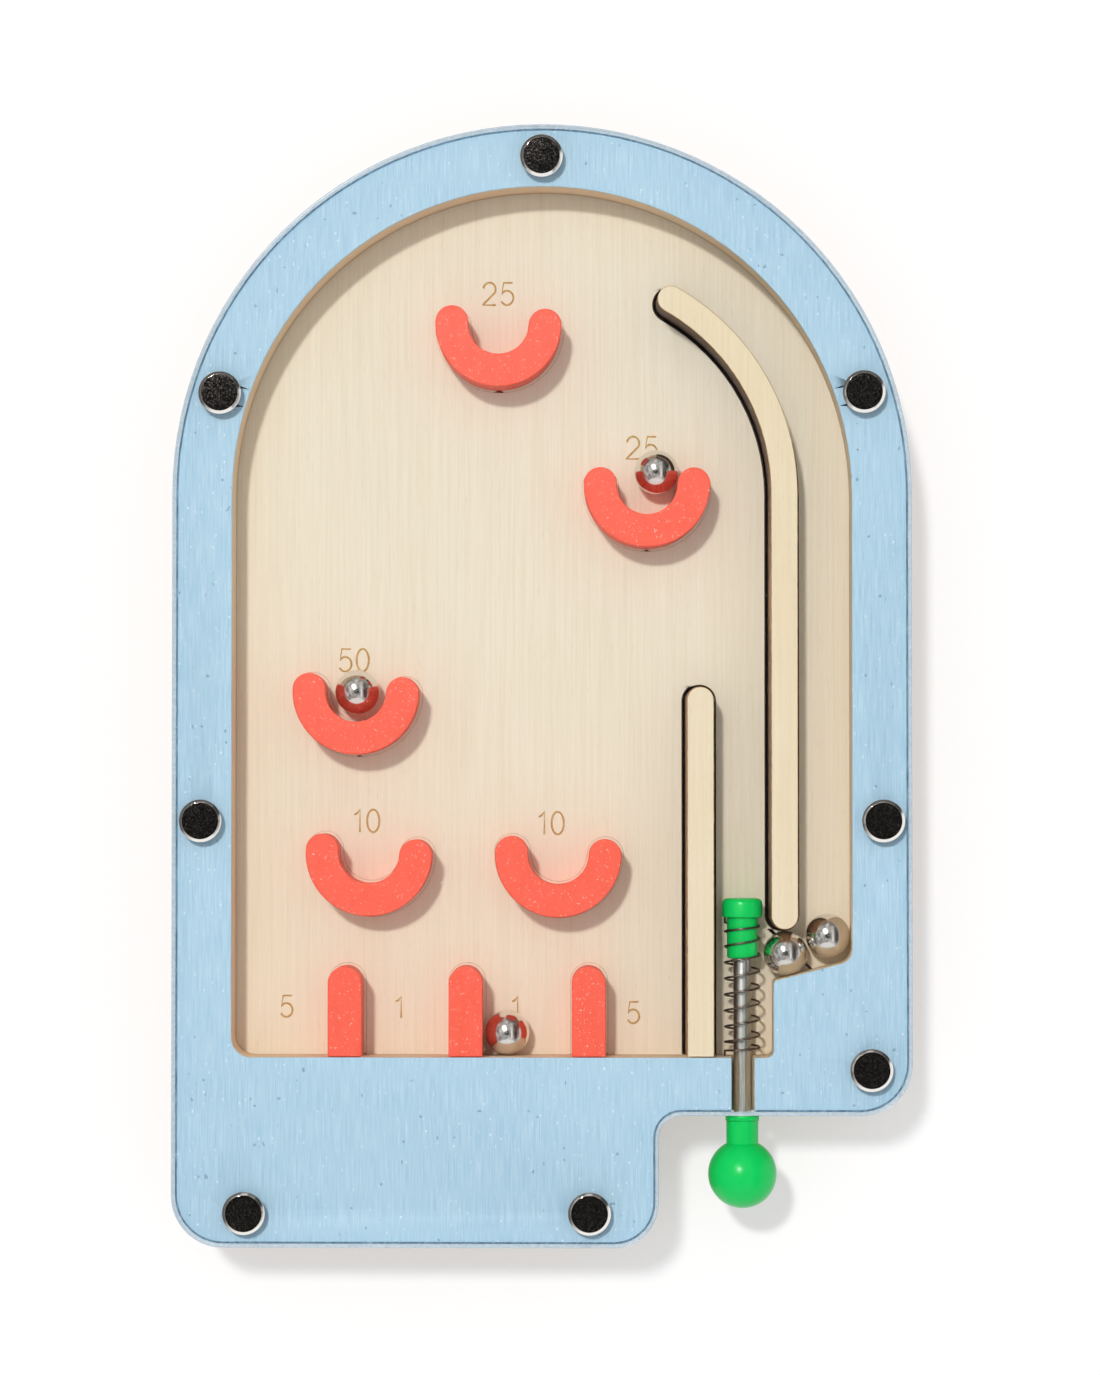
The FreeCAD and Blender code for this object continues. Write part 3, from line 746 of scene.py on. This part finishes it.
def make_world():
    """Even white for what is lit; what mirrors show is a room with a dark ceiling, a window and lamps."""
    world = bpy.data.worlds.new("Studio")
    bpy.context.scene.world = world
    world.use_nodes = True
    tree = world.node_tree
    tree.nodes.clear()
    way = add(tree, "ShaderNodeTexCoord").outputs["Generated"]
    half = vector(tree, "NORMALIZE", vector(tree, "ADD", way, (0, 0, 1.0001)))
    clutter = made(tree, "ShaderNodeTexNoise", {"Vector": half, "Scale": 7.0, "Detail": 4.0})
    tone = steps(tree, clutter, (0.35, 0.16), (0.5, 0.42), (0.66, 0.75))
    rim = vector(tree, "LENGTH", vector(tree, "MULTIPLY", half, (1, 1, 0)), output="Value")
    low = ramp(tree, rim, 0.54, 0.59, kind="SMOOTHSTEP")
    side = vector(tree, "DOT_PRODUCT", half, (0.62, -0.78, 0), output="Value")
    band = steps(tree, ramp(tree, side, -0.15, 0.3), (0.0, 0.12), (1.0, 1.0))
    tone = blend_colours(tree, low, tone, band)
    for middle, spread, edge, level in CARDS:
        off = vector(tree, "SUBTRACT", half, (*middle, 0))
        wide = vector(tree, "MULTIPLY", off, (1 / spread[0], 1 / spread[1], 0))
        far = vector(tree, "LENGTH", wide, output="Value")
        share = ramp(tree, far, 1 + edge, 1 - edge, kind="SMOOTHSTEP")
        tone = blend_colours(tree, share, tone, level)
    path = add(tree, "ShaderNodeLightPath").outputs
    mirrored = maths(tree, "MAXIMUM", path["Is Glossy Ray"], path["Is Transmission Ray"])
    sky = blend_colours(tree, mirrored, (0.6, 0.6, 0.602, 1), tone)
    sky = blend_colours(tree, path["Is Camera Ray"], sky, 1)
    backdrop = made(tree, "ShaderNodeBackground", {"Color": sky})
    add(tree, "ShaderNodeOutputWorld", {"Surface": backdrop})


def make_lamp():
    """One hard lamp, high at the upper left, which throws the short shadows down to the right."""
    lamp = bpy.data.lights.new("key", "SUN")
    lamp.energy = 1.56
    lamp.angle = math.radians(4.6)
    lamp.color = (1.0, 0.985, 0.96)
    key = link("key", lamp)
    key.rotation_mode = "QUATERNION"
    key.rotation_quaternion = Vector((-0.198, 0.3178, 0.9273)).to_track_quat("Z", "Y")


def make_camera():
    """Looks straight down from 730 mm above the case, a little right of and below its middle."""
    camera = bpy.data.cameras.new("camera")
    camera.sensor_width = 36
    camera.lens = 106.2
    camera.clip_start = 0.01
    eye = link("camera", camera)
    eye.location = (13.8 * MM, -17.4 * MM, 752 * MM)
    eye.rotation_mode = "QUATERNION"
    back = (eye.location - Vector((1.5 * MM, -0.52 * MM, 22 * MM))).normalized()
    right = Vector((0, 1, 0)).cross(back).normalized()
    eye.rotation_quaternion = Matrix((right, back.cross(right), back)).transposed().to_quaternion()
    bpy.context.scene.camera = eye


# Operators, one for each piece or group of like pieces


class Step:
    """What the steps share: make builds their pieces from the sizes and colours of the scene."""

    def execute(self, context):
        self.make(context.scene.bagatelle_sizes, context.scene.bagatelle_colours)
        return {"FINISHED"}


class BAGATELLE_OT_stage(Step, bpy.types.Operator):
    """Make the floor, the lamp, the surroundings and the camera"""
    bl_idname = "bagatelle.stage"
    bl_label = "Stage"

    def make(self, sizes, colours):
        bpy.context.scene.view_settings.view_transform = "Standard"
        make_floor()
        make_world()
        make_lamp()
        make_camera()


class BAGATELLE_OT_boards(Step, bpy.types.Operator):
    """Make the back board and the playfield with its cut slots"""
    bl_idname = "bagatelle.boards"
    bl_label = "Back board and playfield"

    def make(self, sizes, colours):
        face = birch_ply_sanded(colours.birch, colours.warm_birch)
        materials = (face, ply_edge_cut(sizes), laser_char(), laser_singe())
        back = rounded_piece("back_plate", "back_board", sizes.board_edge)
        dress(back, materials[:2], lambda f: 0 if abs(f.normal.z) > 0.9 else 1)
        stand_for(back, "back_plate", "birch_ply")
        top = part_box("playfield_plate")[1].z

        def place(f):
            if abs(f.normal.z) > 0.98:
                return 0
            if not in_opening(*f.center.xy):
                return 1
            return 2 if abs(f.normal.z) < 0.3 or by_rail(*f.center.xy) else 3

        def share(middle, out):
            """Only the left sides of the rails' slots have the wide burnt rounding."""
            left_side = middle.z > top - TOUCH and out.x > 0.25
            return 1.0 if left_side and by_rail(*middle.xy) else sizes.slot_edge_rest / sizes.slot_edge

        playfield = rounded_piece("playfield_plate", "playfield_board", sizes.slot_edge, 2, share)
        dress(playfield, materials, place)
        stand_for(playfield, "playfield_plate", "birch_ply")


class BAGATELLE_OT_frame(Step, bpy.types.Operator):
    """Make the painted frame that walls in the playfield"""
    bl_idname = "bagatelle.frame"
    bl_label = "Frame"

    def make(self, sizes, colours):
        materials = (case_paint(colours), ply_edge_cut(sizes), wall_cut(), painted_edge_shade())

        def within(x, y, z):
            """Whether a place is on the opening's walls or the channel's."""
            in_channel = abs(x - CHANNEL_X) < CHANNEL_HALF and y < CHANNEL_END and z > CHANNEL_FLOOR
            return in_channel or in_opening(x, y)

        def place(f):
            inside = within(*f.center)
            if f.center.z > PAINTED_ABOVE and f.normal.z > 0.2:
                # The outer rounded edge gets the paint with painted edge shade (material 3)
                return 0 if inside or f.normal.z > 0.97 else 3
            return 2 if inside else 1

        def share(middle, out):
            """Only the outer edge of the face has the wide rounding."""
            outer = middle.z > PAINTED_ABOVE and not within(*middle)
            return 1.0 if outer else sizes.board_edge / sizes.outline_edge

        ring = rounded_piece("frame_ring", "case_frame", sizes.outline_edge, 3, share, split=True)
        dress(ring, materials, place)
        stand_for(ring, "frame_ring", "blue_painted_wood")


class BAGATELLE_OT_scores(Step, bpy.types.Operator):
    """Engrave the score numbers in the playfield"""
    bl_idname = "bagatelle.scores"
    bl_label = "Score numbers"

    def make(self, sizes, colours):
        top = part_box("playfield_plate")[1].z
        lines = []
        for text, x, y, height in SCORES:
            for stroke in figure_strokes(text, (x * MM, y * MM), height * MM):
                lines.append([(*point, top) for point in stroke])

        def build(tree, start):
            upright = add(tree, "GeometryNodeSetCurveNormal", {"Curve": start[0]}, mode="Z_UP")
            line = add(tree, "GeometryNodeCurvePrimitiveQuadrilateral",
                       {0: start["Line width"], 1: start["Line height"]})
            return sweep(tree, upright.outputs[0], line.outputs[0])

        path = curve_of("score_numbers", lines, "POLY")
        numbers = grow("Engraved line", path, engraving_burn(), build, {
            "Line width": sizes.engraving, "Line height": sizes.engraving_height})
        settle(numbers, "birch_ply")


class BAGATELLE_OT_rails(Step, bpy.types.Operator):
    """Make the two rails that guide the balls"""
    bl_idname = "bagatelle.rails"
    bl_label = "Rails"

    def make(self, sizes, colours):
        materials = (birch_ply_sanded(colours.rails, colours.warm_birch), rail_side(), laser_singe())
        draft = (sizes.rail_draft, sizes.rail_draft_right)

        def place(f):
            up = abs(f.normal.z)
            return 0 if up > 0.9 else 1 if up < 0.25 else 2

        for node in RAILS:
            rail = rounded_piece(node, node + "_piece", sizes.piece_edge, draft=draft)
            dress(rail, materials, place)
            stand_for(rail, node, "birch_ply")


class BAGATELLE_OT_cups(Step, bpy.types.Operator):
    """Make the scoring cups and the dividers of the bins"""
    bl_idname = "bagatelle.cups"
    bl_label = "Cups and dividers"

    def make(self, sizes, colours):
        materials = (piece_paint(colours), piece_side())
        draft = (sizes.cup_draft, -sizes.cup_draft_right)
        for node in CUPS + DIVIDERS:
            piece = rounded_piece(node, node + "_piece", sizes.piece_edge, draft=draft)
            dress(piece, materials, lambda f: 0 if f.normal.z > 0.25 else 1)
            stand_for(piece, node, "red_painted_wood")
        self.close_slots(sizes, colours)

    def close_slots(self, sizes, colours):
        """A film of the playfield's veneer that closes the slots tightly round the cups and dividers."""
        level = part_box("playfield_plate")[1].z + TOUCH
        mesh = bpy.data.meshes.new("slot_films")
        with shape_of(mesh) as films:
            for node in CUPS + DIVIDERS:
                with shape_of(whole_faces(node)) as shape:
                    end = min(v.co.y for v in shape.verts)
                    foot = min(shape.faces, key=lambda face: face.normal.z * face.calc_area())
                    outline = [vert.co.xy + way_out(vert, end).xy * sizes.slot_film for vert in foot.verts]
                films.faces.new([films.verts.new((*place, level)) for place in reversed(outline)])
        mesh.materials.append(birch_ply_sanded(colours.birch, colours.warm_birch))
        settle(link("slot_films", mesh), "birch_ply")


class BAGATELLE_OT_plunger(Step, bpy.types.Operator):
    """Make the plunger's tip, rod and knob"""
    bl_idname = "bagatelle.plunger"
    bl_label = "Plunger"

    def make(self, sizes, colours):
        plastic = plunger_plastic(colours)
        low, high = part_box("plunger_tip")
        axis = ((low.x + high.x) / 2, (low.z + high.z) / 2)
        head = (high.x - low.x) / 2
        body = 2.75 * MM
        shoulder = high.y - 3.4 * MM
        tip = turned([
            (0, low.y, 0),
            (body, low.y, 0.35 * MM),
            (body, shoulder, 0.12 * MM),
            (head, shoulder, 0.2 * MM),
            (head, high.y, 1.05 * MM),
            (0, high.y, 0),
        ])
        low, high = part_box("plunger_rod")
        half = (high.x - low.x) / 2
        rod = turned([(0, low.y, 0), (half, low.y, 0.2 * MM), (half, high.y, 0.2 * MM), (0, high.y, 0)])
        for node, profile, sides, material, slot in (
                ("plunger_tip", tip, 72, plastic, "green_plastic"),
                ("plunger_rod", rod, 72, rod_steel(), "bright_steel"),
                ("plunger_knob", self.knob_profile(), 96, plastic, "green_plastic")):
            piece = lathe(node + "_piece", profile, axis, sides)
            piece.data.materials.append(material)
            stand_for(piece, node, slot, "plunger")

    def knob_profile(self):
        """A ball, then a neck that runs into it, then a collar that is a little wider than the neck."""
        low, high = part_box("plunger_knob")
        ball = (high.x - low.x) / 2
        neck = 2.9 * MM
        collar = 3.05 * MM
        collar_foot = high.y - 0.9 * MM
        last = math.degrees(math.asin(neck / ball))
        points = []
        for k in range(KNOB_STEPS + 1):
            angle = math.radians(180 + (last - 180) * k / KNOB_STEPS)
            points.append((ball * math.sin(angle) if k else 0, low.y + ball + ball * math.cos(angle)))
        return points + turned([
            (neck, points[-1][1], 0),
            (neck, collar_foot, 0.15 * MM),
            (collar, collar_foot, 0.12 * MM),
            (collar, high.y, 0.25 * MM),
            (0, high.y, 0),
        ])[1:]


class BAGATELLE_OT_spring(Step, bpy.types.Operator):
    """Wind the plunger's spring"""
    bl_idname = "bagatelle.spring"
    bl_label = "Spring"

    def make(self, sizes, colours):
        low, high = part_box("plunger_spring")
        axis = ((low.x + high.x) / 2, (low.z + high.z) / 2)
        radius = (high.x - low.x) / 2 - sizes.wire / 2
        foot = low.y + 1.0 * MM
        top = high.y - 1.0 * MM
        close = 0.9 * MM
        easing = 1.5
        spread = (top - foot - sizes.turns * close) / (sizes.turns - easing)
        points = []
        for k in range(TURN_STEPS * sizes.turns + 1):
            turn = k / TURN_STEPS
            left = sizes.turns - turn
            if turn < easing:
                opened = turn * turn / (2 * easing)
            elif left < easing:
                opened = sizes.turns - easing - left * left / (2 * easing)
            else:
                opened = turn - easing / 2
            angle = math.pi - 2 * math.pi * turn
            points.append((axis[0] + radius * math.cos(angle), foot + close * turn + spread * opened,
                           axis[1] + radius * math.sin(angle)))
        # The wire's ends leave the coil along Z, as places from each end of the spring and from the coil
        tail = ((0.03 * MM, 1.0 * MM), (0.5 * MM, 0.7 * MM))
        first, last = points[0], points[-1]
        lead_in = [(first[0], low.y + along, first[2] - off) for along, off in tail]
        lead_out = [(last[0], high.y - along, last[2] + off) for along, off in reversed(tail)]
        path = curve_of("plunger_spring_piece", [lead_in + points + lead_out], "NURBS")
        spline = path.data.splines[0]
        spline.order_u = 4
        spline.use_endpoint_u = True
        spline.resolution_u = 2

        def build(tree, start):
            circle = add(tree, "GeometryNodeCurvePrimitiveCircle",
                         {"Resolution": start["Sides"], "Radius": start["Wire radius"]})
            return sweep(tree, start[0], circle.outputs[0])

        spring = grow("Wound wire", path, spring_wire(), build, {
            "Sides": 10, "Wire radius": sizes.wire / 2})
        spring.data.shade_smooth()
        stand_for(spring, "plunger_spring", "spring_steel")
        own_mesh(spring)


class BAGATELLE_OT_balls(Step, bpy.types.Operator):
    """Make the steel balls, each on its own body"""
    bl_idname = "bagatelle.balls"
    bl_label = "Balls"

    def make(self, sizes, colours):
        steel = ball_steel()

        def build(tree, start):
            ball = made(tree, "GeometryNodeMeshIcoSphere", {"Radius": start["Radius"], "Subdivisions": 5})
            smooth = made(tree, "GeometryNodeSetShadeSmooth", {0: ball})
            return made(tree, "GeometryNodeTransform", {0: smooth, "Translation": start["Middle"]})

        for node in BALLS:
            low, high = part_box(node)
            ball = grow("Ball", link(node + "_piece", bpy.data.meshes.new(node)), steel, build, {
                "Radius": (high.x - low.x) / 2, "Middle": tuple((low + high) / 2)})
            stand_for(ball, node, "polished_steel", node)


class BAGATELLE_OT_pins(Step, bpy.types.Operator):
    """Make the flat-headed pins that hold the cover"""
    bl_idname = "bagatelle.pins"
    bl_label = "Cover pins"

    def make(self, sizes, colours):
        low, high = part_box("cover_pins")
        mesh = bpy.data.meshes.new("cover_pins_piece")
        mesh.from_pydata(self.head_middles(high.z), [], [])
        # The blank's foot, the cover and the head's upright side, measured down from the head's flat top
        foot = low.z - high.z
        cover = -1.0 * MM
        side = -0.4 * MM
        shank = 1.2 * MM
        head = 3.85 * MM
        pin = lathe("pin_blank", turned([
            (0, foot, 0),
            (shank, foot, 0.3 * MM),
            (shank, cover, 0),
            (head, cover, 0.1 * MM),
            (head, side, 0.12 * MM),
            (3.3 * MM, 0, 0.1 * MM),
            (0, 0, 0),
        ]), (0, 0))
        for vert in pin.data.vertices:
            vert.co = (vert.co.x, -vert.co.z, vert.co.y)

        def build(tree, start):
            blank = add(tree, "GeometryNodeObjectInfo", {"Object": pin}, transform_space="ORIGINAL")
            return copies(tree, start[0], blank.outputs["Geometry"], chance(tree, 4, start["Turn"]))

        pins = grow("Pins", link("cover_pins_piece", mesh), pin_nickel(), build, {"Turn": sizes.pin_turn})
        bpy.data.objects.remove(pin)
        stand_for(pins, "cover_pins", "nickel")

    def head_middles(self, top):
        """The middle of each head, from the CAD's vertices on its flat top."""
        heads = []
        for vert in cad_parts["cover_pins"].data.vertices:
            if vert.co.z >= top - 0.001 * MM:
                head = next((found for found in heads if (found[0] - vert.co).length < 8 * MM), None)
                if head is None:
                    head = []
                    heads.append(head)
                head.append(vert.co.copy())
        return [tuple((min(values) + max(values)) / 2 for values in zip(*head)) for head in heads]


class BAGATELLE_OT_cover(Step, bpy.types.Operator):
    """Make the clear cover with its fine scratches"""
    bl_idname = "bagatelle.cover"
    bl_label = "Clear cover"

    def make(self, sizes, colours):
        cover = rounded_piece("clear_cover", "clear_cover_piece", sizes.cover_edge)
        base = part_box("clear_cover")[0].z
        # The underside is raised off the frame, and the rim lies in the gap
        raised = base + 0.03 * MM
        for vert in cover.data.vertices:
            if vert.co.z < base + 0.02 * MM:
                vert.co.z = raised
        dress(cover, (cover_acrylic(), cover_edge_cut()), lambda f: 0 if abs(f.normal.z) > 0.97 else 1)
        self.add_rim(cover.data, (base + raised) / 2, sizes.painted_reflection_rim)
        stand_for(cover, "clear_cover", "clear_acrylic")
        marks = grow("Marks", link("cover_marks", cover.data.copy()), scratched_acrylic(), self.scatter, {
            "Marks": sizes.marks, "Width": sizes.mark_width})
        settle(marks, "clear_acrylic")

    def add_rim(self, mesh, level, width):
        """A strip of the cut edge's material under the outline, a painted reflection in pale grey-blue."""
        with shape_of(mesh) as shape:
            low = min(v.co.z for v in shape.verts)
            ends = {}
            for edge in shape.edges:
                sides = [f for f in edge.link_faces if abs(f.normal.z) < 0.5]
                if len(sides) == 1 and max(v.co.z for v in edge.verts) <= low + 0.3 * MM:
                    for vert in edge.verts:
                        ends.setdefault(vert, []).append((edge, sides[0].normal.xy.normalized()))
            rings = []
            for vert in self.longest_loop(ends):
                out = sum((normal for _, normal in ends[vert]), Vector((0, 0))).normalized()
                places = (vert.co.xy, vert.co.xy - out * width)
                rings.append([shape.verts.new((*place, level)) for place in places])
            for first, second in zip(rings, rings[1:] + rings[:1]):
                strip = shape.faces.new((*first, *reversed(second)))
                strip.material_index = 1
                strip.normal_update()
                if strip.normal.z > 0:
                    strip.normal_flip()

    def longest_loop(self, ends):
        """The vertices of the loop that goes furthest up the game, in order."""
        loops = []
        left = dict.fromkeys(ends)
        while left:
            vert = next(iter(left))
            loop = []
            while vert is not None:
                del left[vert]
                loop.append(vert)
                onward = [edge.other_vert(vert) for edge, _ in ends[vert]]
                vert = next((other for other in onward if other in left), None)
            loops.append(loop)
        return max(loops, key=lambda loop: max(v.co.y for v in loop) - min(v.co.y for v in loop))

    def scatter(self, tree, start):
        """Short hairs and dots of random length and turn on the cover's face."""
        normal = made(tree, "GeometryNodeInputNormal")
        up = add(tree, "ShaderNodeSeparateXYZ", {0: normal}).outputs[2]
        top = maths(tree, "GREATER_THAN", up, 0.99)
        face = made(tree, "GeometryNodeSeparateGeometry", {0: start[0], 1: top}, domain="FACE")
        each = made(tree, "GeometryNodeInputMeshFaceArea")
        area = add(tree, "GeometryNodeAttributeStatistic", {0: face, 2: each}, domain="FACE").outputs["Sum"]
        spacing = {0: face, "Density": maths(tree, "DIVIDE", start["Marks"], area), "Seed": 11}
        points = made(tree, "GeometryNodeDistributePointsOnFaces", spacing)
        extent = ramp(tree, maths(tree, "POWER", chance(tree, 12), 14.0), 0.0, 1.0, 1.0, 6.0)
        size = made(tree, "ShaderNodeCombineXYZ", {0: extent, 1: 1.0, 2: 0.2})
        grain = made(tree, "GeometryNodeMeshIcoSphere", {"Radius": start["Width"], "Subdivisions": 2})
        return copies(tree, points, grain, chance(tree, 13, 2 * math.pi), Scale=size)


OPERATORS = (
    BAGATELLE_OT_stage,
    BAGATELLE_OT_boards,
    BAGATELLE_OT_scores,
    BAGATELLE_OT_frame,
    BAGATELLE_OT_rails,
    BAGATELLE_OT_cups,
    BAGATELLE_OT_plunger,
    BAGATELLE_OT_spring,
    BAGATELLE_OT_balls,
    BAGATELLE_OT_pins,
    BAGATELLE_OT_cover,
)


class BAGATELLE_PT_build(bpy.types.Panel):
    """Sizes, colours and a button for each step"""
    bl_idname = "BAGATELLE_PT_build"
    bl_label = "Bagatelle game"
    bl_space_type = "VIEW_3D"
    bl_region_type = "UI"
    bl_category = "Bagatelle"

    def draw(self, context):
        for group in (context.scene.bagatelle_sizes, context.scene.bagatelle_colours):
            box = self.layout.box()
            for name in group.bl_rna.properties.keys():
                if name not in ("rna_type", "name"):
                    box.prop(group, name)
        for operator in OPERATORS:
            self.layout.operator(operator.bl_idname)


CLASSES = (BagatelleSizes, BagatelleColours, *OPERATORS, BAGATELLE_PT_build)


def register():
    for cls in CLASSES:
        bpy.utils.register_class(cls)
    bpy.types.Scene.bagatelle_sizes = PointerProperty(type=BagatelleSizes)
    bpy.types.Scene.bagatelle_colours = PointerProperty(type=BagatelleColours)


def unregister():
    del bpy.types.Scene.bagatelle_sizes
    del bpy.types.Scene.bagatelle_colours
    for cls in reversed(CLASSES):
        bpy.utils.unregister_class(cls)


def main():
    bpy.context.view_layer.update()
    register()
    for operator in OPERATORS:
        group, name = operator.bl_idname.split(".")
        getattr(getattr(bpy.ops, group), name)()


if __name__ == "__main__":
    main()
